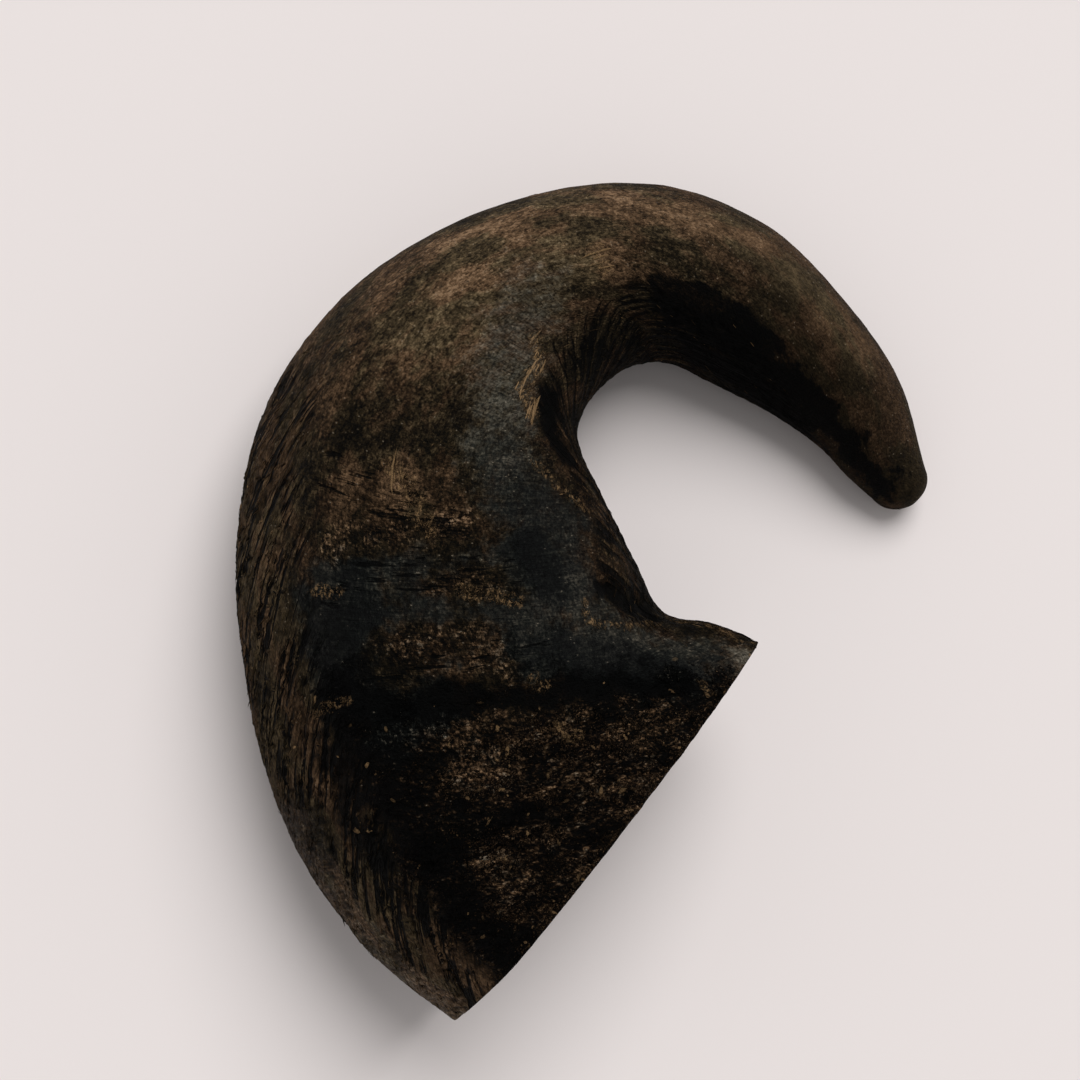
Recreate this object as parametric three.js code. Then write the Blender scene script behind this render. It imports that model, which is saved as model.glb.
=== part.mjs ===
// A water buffalo horn: one tightly curled sheath of keratin, sawn off flat at its base, hollow
// there where the bony core sat, and lying on its side. Millimetres, +Z up, at its real size.
// The saw cut faces -Y, and the curl runs from it through +Y and +X back to the tip.

import * as THREE from 'three';

// ---------------------------------------------------------------- driving dimensions

// Upright cross-sections, from the saw cut to the tip. Each one runs from a point on the inside of
// the curl to the point across from it on the outside, in X and Y, and reaches halfHeight above
// and below its middle. clearance is how far its underside is above the ground. form picks the
// outline: 0 base, 1 middle, 2 arch, 3 tip, and a value between two of these blends them.
const STATIONS = [
  { inner: [45.0, 0.0], outer: [-43.0, 0.0], halfHeight: 26.0, clearance: 0.0, form: 0.0 },
  { inner: [42.5, 9.0], outer: [-43.5, 12.0], halfHeight: 26.0, clearance: 0.0, form: 0.2 },
  { inner: [38.5, 17.0], outer: [-42.0, 25.5], halfHeight: 26.0, clearance: 0.3, form: 0.5 },
  { inner: [43.0, 27.0], outer: [-36.5, 42.5], halfHeight: 25.5, clearance: 0.8, form: 0.8 },
  { inner: [49.0, 40.0], outer: [-22.5, 64.5], halfHeight: 25.0, clearance: 0.8, form: 1.0 },
  { inner: [55.5, 50.0], outer: [-1.0, 86.0], halfHeight: 23.5, clearance: 0.2, form: 1.1 },
  { inner: [66.0, 52.5], outer: [23.5, 99.0], halfHeight: 21.5, clearance: 0.0, form: 1.3 },
  { inner: [76.5, 50.5], outer: [52.5, 101.0], halfHeight: 19.5, clearance: 0.0, form: 1.6 },
  { inner: [83.0, 44.5], outer: [83.5, 90.0], halfHeight: 17.5, clearance: 0.3, form: 2.0 },
  { inner: [86.0, 33.0], outer: [105.5, 71.5], halfHeight: 15.5, clearance: 0.6, form: 2.0 },
  { inner: [88.5, 22.0], outer: [115.0, 50.5], halfHeight: 13.5, clearance: 0.8, form: 2.1 },
  { inner: [89.5, 12.0], outer: [115.0, 28.5], halfHeight: 11.5, clearance: 0.6, form: 2.3 },
  { inner: [88.5, 3.5], outer: [110.5, 9.0], halfHeight: 9.0, clearance: 0.2, form: 2.6 },
  { inner: [89.0, -4.5], outer: [100.0, -8.5], halfHeight: 5.5, clearance: 0.0, form: 3.0 },
];

// Outlines of a cross-section, as [across, up]: across is -1 inside the curl and 1 outside it, and
// up is -1 on the underside and 1 on top. They start inside the curl and go over the top.
const BASE_FORM = [
  [-1.0, 0.2], [-0.8, 0.56], [-0.45, 0.83], [0.0, 0.97], [0.42, 0.98], [0.76, 0.8],
  [1.0, 0.05], [0.86, -0.5], [0.5, -0.86], [0.02, -1.0], [-0.45, -0.86], [-0.82, -0.38],
];
const MIDDLE_FORM = [
  [-1.0, -0.05], [-0.86, 0.58], [-0.55, 0.9], [-0.12, 1.0], [0.3, 0.96], [0.64, 0.74],
  [1.0, -0.1], [0.86, -0.6], [0.48, -0.92], [0.0, -1.0], [-0.5, -0.9], [-0.87, -0.55],
];
const ARCH_FORM = [
  [-1.0, -0.4], [-0.8, 0.3], [-0.45, 0.8], [0.0, 1.0], [0.42, 0.88], [0.78, 0.55],
  [1.0, 0.05], [0.9, -0.45], [0.55, -0.85], [0.05, -1.0], [-0.45, -0.97], [-0.82, -0.8],
];

// The hollow, from the saw cut inwards. It follows the middle of the cross-sections: station is
// where along them, and its section is a rounded box of these half sizes.
const HOLLOW = [
  { station: 0.0, halfWidth: 37.0, halfHeight: 20.5 },
  { station: 1.3, halfWidth: 34.0, halfHeight: 19.0 },
  { station: 2.5, halfWidth: 27.5, halfHeight: 16.5 },
  { station: 3.6, halfWidth: 18.5, halfHeight: 12.5 },
  { station: 4.5, halfWidth: 8.5, halfHeight: 7.0 },
];
const HOLLOW_END_STATION = 4.9;
const HOLLOW_SQUARENESS = 2.4;

// The angle at which the tip narrows towards its axis where its rounded end begins.
const TIP_TAPER = THREE.MathUtils.degToRad(24);

// How finely the surface is cut into facets.
const POINTS_AROUND = 32;
const BODY_RINGS = 56;
const DOME_RINGS = 4;
const HOLLOW_RINGS = 12;

const HORN_COLOUR = 0x30271f;
const HORN_ROUGHNESS = 0.6;

// ---------------------------------------------------------------- curves

const LAST_STATION = STATIONS.length - 1;

function curveThrough(points, closed = false) {
  return new THREE.CatmullRomCurve3(points, closed, 'catmullrom', 0.5);
}

const innerEdge = curveThrough(STATIONS.map((s) => new THREE.Vector3(...s.inner, 0)));
const outerEdge = curveThrough(STATIONS.map((s) => new THREE.Vector3(...s.outer, 0)));
const girth = curveThrough(
  STATIONS.map((s) => new THREE.Vector3(s.halfHeight, s.clearance, s.form)),
);
const hollowSize = curveThrough(
  HOLLOW.map((h) => new THREE.Vector3(h.station, h.halfWidth, h.halfHeight)),
);
const drawnForms = [BASE_FORM, MIDDLE_FORM, ARCH_FORM].map((form) =>
  curveThrough(form.map((point) => new THREE.Vector3(...point, 0)), true),
);

// ---------------------------------------------------------------- cross-sections

// A point of a round outline at a fraction of the way around; a higher squareness makes it boxier.
function roundOutline(fraction, squareness) {
  const angle = 2 * Math.PI * fraction;
  const bulge = (value) => Math.sign(value) * Math.abs(value) ** (2 / squareness);
  return new THREE.Vector3(-bulge(Math.cos(angle)), bulge(Math.sin(angle)), 0);
}

function outlineOfForm(form, fraction) {
  if (form < drawnForms.length) {
    return drawnForms[form].getPoint(fraction);
  }
  return roundOutline(fraction, 2);
}

// A point of the outline that lies between two forms.
function hornOutline(form, fraction) {
  const lower = Math.floor(THREE.MathUtils.clamp(form, 0, drawnForms.length - 1));
  const blend = THREE.MathUtils.smoothstep(form - lower, 0, 1);
  return outlineOfForm(lower, fraction).lerp(outlineOfForm(lower + 1, fraction), blend);
}

// The middle of the cross-section at a station, with its half width and half height as vectors.
function sectionAt(station) {
  const t = station / LAST_STATION;
  const inner = innerEdge.getPoint(t);
  const outer = outerEdge.getPoint(t);
  const { x: halfHeight, y: clearance, z: form } = girth.getPoint(t);
  return {
    middle: inner.clone().lerp(outer, 0.5).setZ(clearance + halfHeight),
    across: outer.clone().sub(inner).multiplyScalar(0.5),
    up: new THREE.Vector3(0, 0, halfHeight),
    form,
  };
}

function ringOfPoints({ middle, across, up }, outlineAt) {
  return Array.from({ length: POINTS_AROUND }, (_, index) => {
    const place = outlineAt(index / POINTS_AROUND);
    return middle.clone().addScaledVector(across, place.x).addScaledVector(up, place.y);
  });
}

// ---------------------------------------------------------------- the horn

function bodyRings() {
  return Array.from({ length: BODY_RINGS }, (_, index) => {
    const section = sectionAt((index / (BODY_RINGS - 1)) * LAST_STATION);
    return ringOfPoints(section, (fraction) => hornOutline(section.form, fraction));
  });
}

// The blunt tip: rings that shrink along a round arc, and the point that closes them.
function tipDome() {
  const last = sectionAt(LAST_STATION);
  const radius = last.across.length() / Math.cos(TIP_TAPER);
  const forward = new THREE.Vector3(last.across.y, -last.across.x, 0).normalize();
  const middleAt = (angle) => {
    const distance = radius * (Math.sin(angle) - Math.sin(TIP_TAPER));
    return last.middle.clone().addScaledVector(forward, distance);
  };
  const rings = [];
  for (let index = 1; index < DOME_RINGS; index += 1) {
    const angle = THREE.MathUtils.lerp(TIP_TAPER, Math.PI / 2, index / DOME_RINGS);
    const shrink = Math.cos(angle) / Math.cos(TIP_TAPER);
    const section = {
      middle: middleAt(angle),
      across: last.across.clone().multiplyScalar(shrink),
      up: last.up.clone().multiplyScalar(shrink),
    };
    rings.push(ringOfPoints(section, (fraction) => roundOutline(fraction, 2)));
  }
  return { rings, end: middleAt(Math.PI / 2) };
}

// The hollow's rings, from its deep end to the saw cut.
function hollowRings() {
  return Array.from({ length: HOLLOW_RINGS }, (_, index) => {
    const { x: station, y: halfWidth, z: halfHeight } = hollowSize.getPoint(
      1 - index / (HOLLOW_RINGS - 1),
    );
    const { middle, across } = sectionAt(station);
    const section = {
      middle,
      across: across.setLength(halfWidth),
      up: new THREE.Vector3(0, 0, halfHeight),
    };
    return ringOfPoints(section, (fraction) => roundOutline(fraction, HOLLOW_SQUARENESS));
  });
}

// One closed skin: from the hollow's deep end out to the saw cut, across the cut's flat rim, and
// on over the outside to the tip.
function hornGeometry() {
  const dome = tipDome();
  const rings = [...hollowRings(), ...bodyRings(), ...dome.rings];
  const points = [sectionAt(HOLLOW_END_STATION).middle, ...rings.flat(), dome.end];
  const vertex = (ring, index) => 1 + ring * POINTS_AROUND + (index % POINTS_AROUND);
  const faces = [];
  for (let index = 0; index < POINTS_AROUND; index += 1) {
    faces.push(0, vertex(0, index), vertex(0, index + 1));
    for (let ring = 0; ring < rings.length - 1; ring += 1) {
      faces.push(vertex(ring, index), vertex(ring + 1, index), vertex(ring + 1, index + 1));
      faces.push(vertex(ring, index), vertex(ring + 1, index + 1), vertex(ring, index + 1));
    }
    const lastRing = rings.length - 1;
    faces.push(points.length - 1, vertex(lastRing, index + 1), vertex(lastRing, index));
  }
  const geometry = new THREE.BufferGeometry().setFromPoints(points);
  geometry.setIndex(faces);
  geometry.computeVertexNormals();
  return geometry;
}

// Puts the origin on the ground, under the middle of the horn.
function standOnOrigin(geometry) {
  geometry.computeBoundingBox();
  const { min, max } = geometry.boundingBox;
  return geometry.translate(-(min.x + max.x) / 2, -(min.y + max.y) / 2, -min.z);
}

const horn = new THREE.Mesh(
  standOnOrigin(hornGeometry()),
  new THREE.MeshStandardMaterial({
    color: HORN_COLOUR,
    roughness: HORN_ROUGHNESS,
    metalness: 0,
  }),
);
horn.name = 'horn';

const group = new THREE.Group();
group.add(horn);

export default group;
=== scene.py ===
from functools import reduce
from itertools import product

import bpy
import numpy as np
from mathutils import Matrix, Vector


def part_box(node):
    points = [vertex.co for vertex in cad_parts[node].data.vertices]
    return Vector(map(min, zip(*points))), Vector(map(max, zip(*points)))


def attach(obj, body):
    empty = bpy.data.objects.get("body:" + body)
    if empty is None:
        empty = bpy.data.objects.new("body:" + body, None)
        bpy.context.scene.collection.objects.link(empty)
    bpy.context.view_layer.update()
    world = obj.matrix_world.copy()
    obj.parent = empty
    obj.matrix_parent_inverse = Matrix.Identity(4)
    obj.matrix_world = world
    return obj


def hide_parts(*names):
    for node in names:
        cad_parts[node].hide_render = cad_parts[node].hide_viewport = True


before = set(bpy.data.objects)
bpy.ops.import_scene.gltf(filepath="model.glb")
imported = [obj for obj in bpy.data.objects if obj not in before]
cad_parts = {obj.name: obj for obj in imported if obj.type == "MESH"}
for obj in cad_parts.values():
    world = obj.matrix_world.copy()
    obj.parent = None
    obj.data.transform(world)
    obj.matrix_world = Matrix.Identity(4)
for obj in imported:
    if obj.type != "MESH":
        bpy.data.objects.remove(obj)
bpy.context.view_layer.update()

# A tightly curled water buffalo horn, sawn off flat at its base and lying on its side.
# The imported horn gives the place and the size. This script lofts the same horn finely, works the
# grooves, folds and flakes of old keratin into its surface, and gives it procedural materials.
# Positions on the horn are (station, fraction): a station counts the cross-sections of STATIONS
# from the saw cut, and a fraction goes around a section, 0 inside the curl, 0.25 on top,
# 0.5 outside and 0.75 underneath. Lengths are millimetres until a mesh is made.

MM = 0.001

# ---- shape

# The cross-sections of the CAD horn: inside x, y, outside x, y, half height, clearance under it,
# and form, which picks the outline: 0 base, 1 middle, 2 arch, 3 tip.
STATIONS = np.array([
    (45, 0, -43, 0, 26, 0, 0),
    (42.5, 9, -43.5, 12, 26, 0, 0.2),
    (38.5, 17, -42, 25.5, 26, 0.3, 0.5),
    (43, 27, -36.5, 42.5, 25.5, 0.8, 0.8),
    (49, 40, -22.5, 64.5, 25, 0.8, 1),
    (55.5, 50, -1, 86, 23.5, 0.2, 1.1),
    (66, 52.5, 23.5, 99, 21.5, 0, 1.3),
    (76.5, 50.5, 52.5, 101, 19.5, 0, 1.6),
    (83, 44.5, 83.5, 90, 17.5, 0.3, 2),
    (86, 33, 105.5, 71.5, 15.5, 0.6, 2),
    (88.5, 22, 115, 50.5, 13.5, 0.8, 2.1),
    (89.5, 12, 115, 28.5, 11.5, 0.6, 2.3),
    (88.5, 3.5, 110.5, 9, 9, 0.2, 2.6),
    (89, -4.5, 100, -8.5, 5.5, 0, 3),
])
LAST_STATION = len(STATIONS) - 1

# Section outlines as across (-1 inside, 1 outside) and up (-1 underside, 1 top).
BASE_FORM = [
    (-1, 0.2), (-0.8, 0.56), (-0.45, 0.83), (0, 0.97), (0.42, 0.98), (0.76, 0.8),
    (1, 0.05), (0.86, -0.5), (0.5, -0.86), (0.02, -1), (-0.45, -0.86), (-0.82, -0.38),
]
MIDDLE_FORM = [
    (-1, -0.05), (-0.86, 0.58), (-0.55, 0.9), (-0.12, 1), (0.3, 0.96), (0.64, 0.74),
    (1, -0.1), (0.86, -0.6), (0.48, -0.92), (0, -1), (-0.5, -0.9), (-0.87, -0.55),
]
ARCH_FORM = [
    (-1, -0.4), (-0.8, 0.3), (-0.45, 0.8), (0, 1), (0.42, 0.88), (0.78, 0.55),
    (1, 0.05), (0.9, -0.45), (0.55, -0.85), (0.05, -1), (-0.45, -0.97), (-0.82, -0.8),
]
DRAWN_FORMS = (BASE_FORM, MIDDLE_FORM, ARCH_FORM)

# The hollow: station, half width and half height of its rounded section.
HOLLOW = np.array([
    (0, 37, 20.5),
    (1.3, 34, 19),
    (2.5, 27.5, 16.5),
    (3.6, 18.5, 12.5),
    (4.5, 8.5, 7),
])
HOLLOW_END_STATION = 4.9
HOLLOW_SQUARENESS = 2.4
TIP_TAPER = np.radians(24)

# How finely the mesh is divided. Points are closer together on the top side by TOP_CROWDING.
AROUND = 236
BODY_RINGS = 352
DOME_RINGS = 10
RIM_RINGS = 6
HOLLOW_RINGS = 44
TOP_CROWDING = 0.35
# Even spacing is measured on a track this share of the way from the middle to the outside.
TRACK_SHARE = 0.4
FINE_STATIONS = 2000
# How much the station counts up from each ring of the tip's dome to the next.
DOME_STEP = 0.05

# ---- numbers


def smoothstep(low, high, value):
    t = np.clip((value - low) / (high - low), 0, 1)
    return t * t * (3 - 2 * t)


def lerp(a, b, share):
    return a + (b - a) * share


def unit(vectors):
    return vectors / np.linalg.norm(vectors, axis=-1, keepdims=True)


# The noise repeats after this many cells, and OCTAVE_SHIFT keeps its octaves from lining up.
NOISE_CELLS = 4096
OCTAVE_SHIFT = 7.3
NOISE_RANGE = 1.7


class Noise:
    """Smooth gradient noise, about -1 to 1, at an array of 3-D points."""

    def __init__(self, seed):
        random = np.random.default_rng(seed)
        self.order = random.permutation(NOISE_CELLS)
        self.directions = unit(random.normal(size=(NOISE_CELLS, 3)))

    def __call__(self, points, octaves=1, gain=0.5):
        total = 0.0
        for octave in range(octaves):
            total = total + gain**octave * self._layer(points * 2**octave + OCTAVE_SHIFT * octave)
        return total

    def _layer(self, points):
        cell = np.floor(points).astype(int)
        local = points - cell
        fade = local**3 * (local * (local * 6 - 15) + 10)
        total = 0.0
        for corner in product((0, 1), repeat=3):
            gradient = self.directions[self._shuffled(cell + corner)]
            weight = np.prod(np.where(corner, fade, 1 - fade), axis=-1)
            total = total + weight * np.einsum("...i,...i", gradient, local - corner)
        return NOISE_RANGE * total

    def _shuffled(self, cells):
        """The number of the direction that each cell has."""
        x, y, z = np.moveaxis(cells % NOISE_CELLS, -1, 0)
        row = self.order[(self.order[x] + y) % NOISE_CELLS]
        return self.order[(row + z) % NOISE_CELLS]


# ---- loft


def spline(points, at, closed=False):
    """Catmull-Rom curve through rows of points; at counts the points from 0."""
    points = np.asarray(points, float)
    count = len(points)
    start = np.floor(at).astype(int)
    if closed:
        rows = [points[(start + step) % count] for step in (-1, 0, 1, 2)]
    else:
        start = np.clip(start, 0, count - 2)
        padded = np.vstack([2 * points[0] - points[1], points, 2 * points[-1] - points[-2]])
        rows = [padded[start + step] for step in (0, 1, 2, 3)]
    a, b, c, d = rows
    t = (at - start)[:, None]
    slope = c - a
    curve = 2 * a - 5 * b + 4 * c - d
    twist = 3 * b - a - 3 * c + d
    return 0.5 * (2 * b + slope * t + curve * t**2 + twist * t**3)


def round_outline(fraction, squareness=2):
    """A round outline, or a boxier one above squareness 2."""
    angle = 2 * np.pi * fraction
    sides = np.stack([-np.cos(angle), np.sin(angle)], axis=-1)
    return np.sign(sides) * np.abs(sides) ** (2 / squareness)


def horn_outline(form, fraction):
    """Outlines, a row for each form, blended between the drawn forms and the round tip."""
    drawn = [spline(points, fraction * len(points), closed=True) for points in DRAWN_FORMS]
    forms = np.stack([*drawn, round_outline(fraction)])
    lower = np.clip(np.floor(form).astype(int), 0, len(drawn) - 1)
    blend = smoothstep(0, 1, form - lower)[:, None, None]
    return forms[lower] * (1 - blend) + forms[lower + 1] * blend


def sections_at(station):
    """Middles, half-width vectors, half heights and forms of the sections at these stations."""
    row = spline(STATIONS, station)
    inner, outer = row[:, 0:2], row[:, 2:4]
    half_height, clearance, form = row[:, 4:].T
    middle = np.column_stack([(inner + outer) / 2, half_height + clearance])
    across = np.column_stack([(outer - inner) / 2, np.zeros(len(row))])
    return middle, across, half_height, form


def distance_along(points):
    """How far each point of a line is from its start."""
    steps = np.linalg.norm(np.diff(points, axis=0), axis=1)
    return np.concatenate([[0], np.cumsum(steps)])


def rings_of(middle, across, half_height, outline):
    """Rings of points, shape (rings, points, 3), from sections and their outlines or one outline."""
    up = np.array([0.0, 0.0, 1.0])
    width = outline[..., 0:1] * across[:, None]
    height = outline[..., 1:2] * half_height[:, None, None] * up
    return middle[:, None] + width + height


def even_stations(count):
    """Stations whose sections are evenly spaced along the horn's outer half."""
    fine = np.linspace(0, LAST_STATION, FINE_STATIONS)
    middle, across, _, _ = sections_at(fine)
    travelled = distance_along(middle + TRACK_SHARE * across)
    return np.interp(np.linspace(0, travelled[-1], count), travelled, fine)


def around_fractions():
    """Fractions around a section, closest together on the top side."""
    even = np.arange(AROUND) / AROUND
    return even + TOP_CROWDING * (np.cos(2 * np.pi * even) - 1) / (2 * np.pi)


class Skin:
    """The smooth outside of the horn: points and, for each point, where it is on the horn.

    grain is the same horn pulled out straight: distance along it, across and up. Noise that is
    stretched along its first number runs with the fibres.
    """

    def __init__(self):
        fraction = around_fractions()
        station = even_stations(BODY_RINGS)
        middle, across, half_height, form = sections_at(station)
        outline = horn_outline(form, fraction)
        body = rings_of(middle, across, half_height, outline)
        last_section = (middle[-1], across[-1], half_height[-1])
        dome, dome_middle, dome_sizes, self.tip = tip_dome(*last_section, fraction)
        self.points = np.concatenate([body, dome])
        along = distance_along(np.concatenate([middle, dome_middle]))
        half_width = np.concatenate([np.linalg.norm(across, axis=1), dome_sizes[0]])
        half_height = np.concatenate([half_height, dome_sizes[1]])
        outline = np.concatenate([outline, np.repeat(outline[-1:], len(dome), axis=0)])
        self.grain = np.stack([
            np.repeat(along[:, None], AROUND, axis=1),
            outline[..., 0] * half_width[:, None],
            outline[..., 1] * half_height[:, None],
        ], axis=-1)
        beyond = LAST_STATION + DOME_STEP * np.arange(1, len(dome) + 1)
        self.station = np.concatenate([station, beyond])[:, None] + np.zeros(AROUND)
        self.across = outline[..., 0]
        self.up = outline[..., 1]
        self.fraction = np.zeros((len(self.points), 1)) + fraction

    def normals(self):
        """Outward directions of the grid of points."""
        along = np.gradient(self.points, axis=0)
        around = np.roll(self.points, -1, axis=1) - np.roll(self.points, 1, axis=1)
        return unit(np.cross(along, around))

    def at(self, station, fraction):
        """The point of the skin at a station and a fraction around it."""
        middle, across, half_height, form = sections_at(np.array([station]))
        outline = horn_outline(form, np.array([fraction]))
        return rings_of(middle, across, half_height, outline)[0, 0]


def tip_dome(middle, across, half_height, fraction):
    """Rings that round off the tip, their middles, their half widths and heights, and its end."""
    half_width = np.linalg.norm(across)
    radius = half_width / np.cos(TIP_TAPER)
    forward = np.array([across[1], -across[0], 0]) / half_width
    share = np.arange(1, DOME_RINGS + 1)
    angle = TIP_TAPER + (np.pi / 2 - TIP_TAPER) * share / (DOME_RINGS + 1)
    shrink = np.cos(angle) / np.cos(TIP_TAPER)
    distance = radius * (np.sin(angle) - np.sin(TIP_TAPER))
    middles = middle + distance[:, None] * forward
    rings = rings_of(middles, shrink[:, None] * across, shrink * half_height, round_outline(fraction))
    end = middle + radius * (1 - np.sin(TIP_TAPER)) * forward
    return rings, middles, (shrink * half_width, shrink * half_height), end


skin = Skin()
grain, station, fraction = skin.grain, skin.station, skin.fraction

# ---- marks

# The foot of the shelf that crosses the base.
SHELF_FOOT = [
    (3.67, 0.41), (3.3, 0.355), (2.95, 0.28), (2.47, 0.228), (2.1, 0.185), (1.6, 0.15),
]

# Places on the horn, each a line of (station, fraction) and how far the mark reaches, in mm.
MARKS = {
    # Rubbed smooth and greyer, and on the crest painted paler as a sheen of its polish: the crest on the
    # inside of the curl, the shelf in front of the base, and contacts.
    "worn": [
        ([(7.1, 0.235), (6.4, 0.215), (5.8, 0.2), (5, 0.19), (4.4, 0.18), (3.8, 0.15), (3.3, 0.165)], 8),
        ([(0.1, 0.49), (1.2, 0.487), (3, 0.483)], 7),
        ([(3.1, 0.165), (2.25, 0.129), (0.8, 0.087), (0.1, 0.06)], 5),
        ([(4.4, 0.39), (4.2, 0.308), (3.85, 0.237), (3.65, 0.183)], 5),
        ([(4.05, 0.404), (3.85, 0.3), (3.35, 0.217), (3.1, 0.183)], 5),
        ([(3.4, 0.28), (2.85, 0.21), (2.35, 0.16)], 3.5),
        ([(8.2, 0.74), (6.4, 0.7), (4.6, 0.72), (2.6, 0.69)], 6),
        ([(3.6, 0.8), (2.2, 0.86), (0.6, 0.82)], 5),
    ],
    # Blue-black stains.
    "blue": [
        ([(4.3, 0.4), (3.67, 0.41), (3.3, 0.37), (3.1, 0.32)], 6),
        ([(3.8, 0.19), (3.3, 0.18)], 3),
        ([(4.4, 0.37), (4.05, 0.37)], 4),
        ([(2.9, 0.22), (1.9, 0.15), (1.3, 0.13), (0.7, 0.13)], 4.5),
        ([(3.4, 0.74), (1.6, 0.76)], 6),
    ],
    # A shallow groove along the foot of the shelf, with painted shade in it.
    "valley": [
        (SHELF_FOOT + [(0.9, 0.14)], 2.4),
        ([(3, 0.13), (2.6, 0.1), (2.2, 0.06)], 2.4),
    ],
    # Darker places: painted shade in the groove at the foot of the shelf, in the notch and on the inner
    # wall of the hook, which faces away from the light, and sooty stains in the rest.
    "dark": [
        (SHELF_FOOT + [(0.8, 0.14)], 2.6),
        ([(3.5, 0.417), (2.9, 0.4), (2.02, 0.385)], 6),
        ([(2.6, 0.34), (2, 0.33)], 3),
        ([(1.3, 0.39), (0.1, 0.385)], 4.5),
        ([(1.5, 0.3), (1.1, 0.28)], 2.5),
        ([(0.55, 0.275), (0.25, 0.255)], 2),
        ([(2.3, 0.19), (1.5, 0.185)], 2.5),
        ([(8.3, 0.16), (8.9, 0.13), (9.6, 0.1), (10.6, 0.09)], 5),
        ([(10.4, 0.09), (11.8, 0.09), (12.8, 0.1)], 3.6),
        ([(8.4, 0.06), (9.4, 0.03), (10.4, 0.04)], 5),
        ([(8.2, 0.19), (8.7, 0.195), (9.3, 0.17), (9.8, 0.15)], 1.5),
        ([(3, 0.13), (2.5, 0.09), (2.15, 0.05)], 2),
        ([(3.3, 0.43), (2.9, 0.44), (2.3, 0.43)], 4),
        ([(3.1, 0.37), (2.8, 0.35), (2.6, 0.36)], 4),
        ([(5.6, 0.13), (5, 0.12), (4.5, 0.09)], 2.5),
    ],
    # Browner places among the dark ones.
    "umber": [
        ([(3, 0.329), (2.6, 0.28), (2.23, 0.235)], 6),
        ([(2.6, 0.31), (2.05, 0.287)], 5),
        ([(2, 0.21), (1, 0.2), (0.4, 0.18)], 4),
        ([(1.95, 0.4), (1.67, 0.354), (1.25, 0.308)], 1.6),
        ([(1.57, 0.362), (1.3, 0.325)], 1.6),
        ([(1.07, 0.35), (0.85, 0.32)], 1.7),
        ([(0.95, 0.371), (0.5, 0.355)], 2.4),
        ([(0.8, 0.275), (0.2, 0.22)], 5),
        ([(0.3, 0.35), (0.1, 0.3)], 3),
        ([(3.7, 0.33), (3.45, 0.27), (2.95, 0.242)], 4.5),
        ([(4.6, 0.37), (4.5, 0.3), (4.3, 0.235)], 4),
        ([(4, 0.28), (3.75, 0.23)], 3),
        ([(3.9, 0.09), (3.4, 0.085), (2.9, 0.1)], 4),
    ],
    # Paler places.
    "light": [
        ([(6.4, 0.317), (7.1, 0.33), (7.7, 0.29)], 9),
        ([(8.3, 0.36), (7.95, 0.28), (7.75, 0.225)], 5),
        ([(5.05, 0.305), (4.65, 0.285)], 3),
        ([(8.9, 0.35), (9.6, 0.36), (10.25, 0.33), (11.2, 0.3)], 5.5),
        ([(7.4, 0.4), (8.2, 0.41), (8.75, 0.385)], 6),
        ([(0.1, 0.49), (1.2, 0.485), (2.2, 0.48)], 7),
        ([(0.1, 0.485), (1.2, 0.48)], 6),
        ([(0.5, 0.04), (0, 0.07)], 2.5),
        ([(7, 0.6), (9, 0.62)], 9),
    ],
    # Where tan strands have split off the surface.
    "flaked": [
        ([(6.4, 0.183), (6, 0.169), (5.6, 0.166), (5.3, 0.147)], 2),
        ([(4.6, 0.147), (4.3, 0.133), (3.8, 0.1)], 1.2),
        ([(5.05, 0.307), (4.78, 0.287), (4.35, 0.272)], 2.2),
        ([(3, 0.154), (2.75, 0.158), (2.33, 0.117), (1.93, 0.058)], 0.9),
        ([(3.65, 0.433), (3.6, 0.4)], 1),
        ([(3.8, 0.257), (3.45, 0.215)], 1.6),
        ([(2.67, 0.225), (2.5, 0.22)], 1.3),
        ([(2, 0.225), (1.6, 0.217)], 1.4),
        ([(0.55, 0.117), (0.25, 0.125)], 1.2),
        ([(1.8, 0.029), (1.23, 0.025), (0.35, 0.033)], 1.4),
        ([(4.4, 0.41), (4.3, 0.38)], 1.3),
        ([(7.95, 0.27), (7.8, 0.215)], 2),
    ],
    # Where the surface has cracked along its growth rings.
    "cracked": [
        ([(5.15, 0.37), (4.8, 0.32), (4.45, 0.255)], 4.5),
        ([(4.3, 0.39), (4.2, 0.31), (3.95, 0.25), (3.65, 0.21)], 4),
        ([(3.55, 0.35), (3.3, 0.28), (2.9, 0.22)], 3.5),
    ],
}
# The edges of marks wander by waves of this length, by a share of the mark's reach up to a limit.
WANDER_LENGTH = 7.0
WANDER_SHARE = 0.6
WANDER_LIMIT = 2.8
# A mark is whole up to the first share of its reach, and gone at the second.
WHOLE_SHARE = 0.2
GONE_SHARE = 1.6


def distance_to_line(points, line):
    """Shortest distance from each point to a line of 3-D points."""
    nearest = np.full(points.shape[:-1], np.inf)
    for start, end in zip(line[:-1], line[1:]):
        step = end - start
        t = np.clip(((points - start) @ step) / (step @ step), 0, 1)
        distance = np.linalg.norm(points - start - t[..., None] * step, axis=-1)
        nearest = np.minimum(nearest, distance)
    return nearest


waves = [Noise(seed)(skin.points / WANDER_LENGTH, octaves=4, gain=0.6) for seed in (11, 12, 13)]
wander = np.stack(waves, axis=-1)


def mark(name):
    """How strongly each point of the skin carries a kind of mark, fading from 1 to 0."""
    strength = np.zeros(skin.points.shape[:-1])
    for places, reach in MARKS[name]:
        line = [skin.at(*place) for place in places]
        ragged = skin.points + min(WANDER_SHARE * reach, WANDER_LIMIT) * wander
        distance = distance_to_line(ragged, line)
        here = 1 - smoothstep(WHOLE_SHARE * reach, GONE_SHARE * reach, distance)
        strength = np.maximum(strength, here)
    return strength


# ---- relief


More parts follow.
